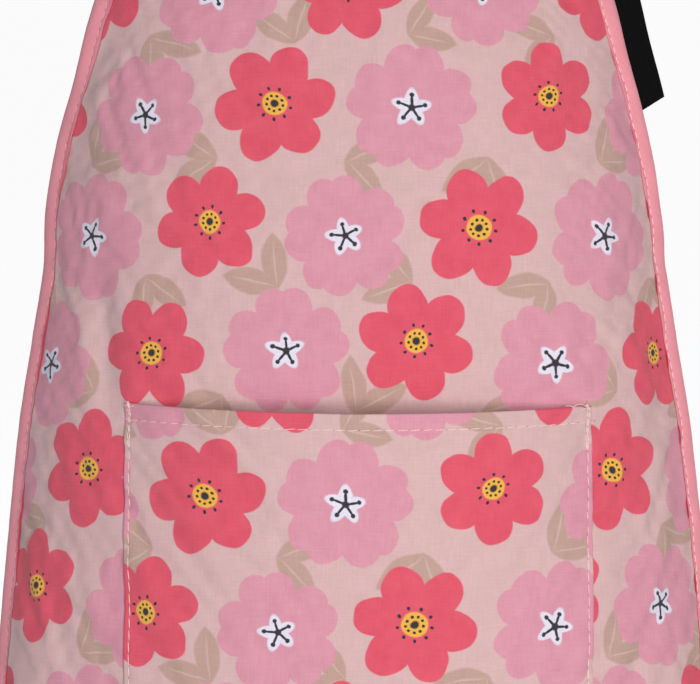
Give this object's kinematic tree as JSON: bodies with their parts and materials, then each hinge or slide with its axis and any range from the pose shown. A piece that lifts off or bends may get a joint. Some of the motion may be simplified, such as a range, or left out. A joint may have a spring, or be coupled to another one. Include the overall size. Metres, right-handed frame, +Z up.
{
  "type": "child's bib apron",
  "caption": "Cloth bib apron in its worn shape: a flared printed front panel with a wide patch pocket, bound sides, a neck strap loop and waist ties closed in a bow behind.",
  "frame": {"origin": "the nape of the neck: the middle of the neck strap's inner face, where the apron hangs on its wearer", "axes": "+Z up, -Y the way the wearer faces, +X to the right seen from the front"},
  "size_m": [0.3553, 0.2144, 0.676],
  "materials": {
    "printed_cloth": "plain-woven cotton printed with a floral repeat, matt",
    "pink_tape": "plain-woven cotton tape and bias binding, matt",
    "label_satin": "woven satin label, blank, slight sheen"
  },
  "bodies": {
    "root": {"front_panel": "printed_cloth", "pocket": "printed_cloth", "left_binding": "pink_tape", "right_binding": "pink_tape", "side_label": "label_satin", "neck_strap": "pink_tape", "left_tie": "pink_tape", "right_tie": "pink_tape"}
  },
  "joints": []
}
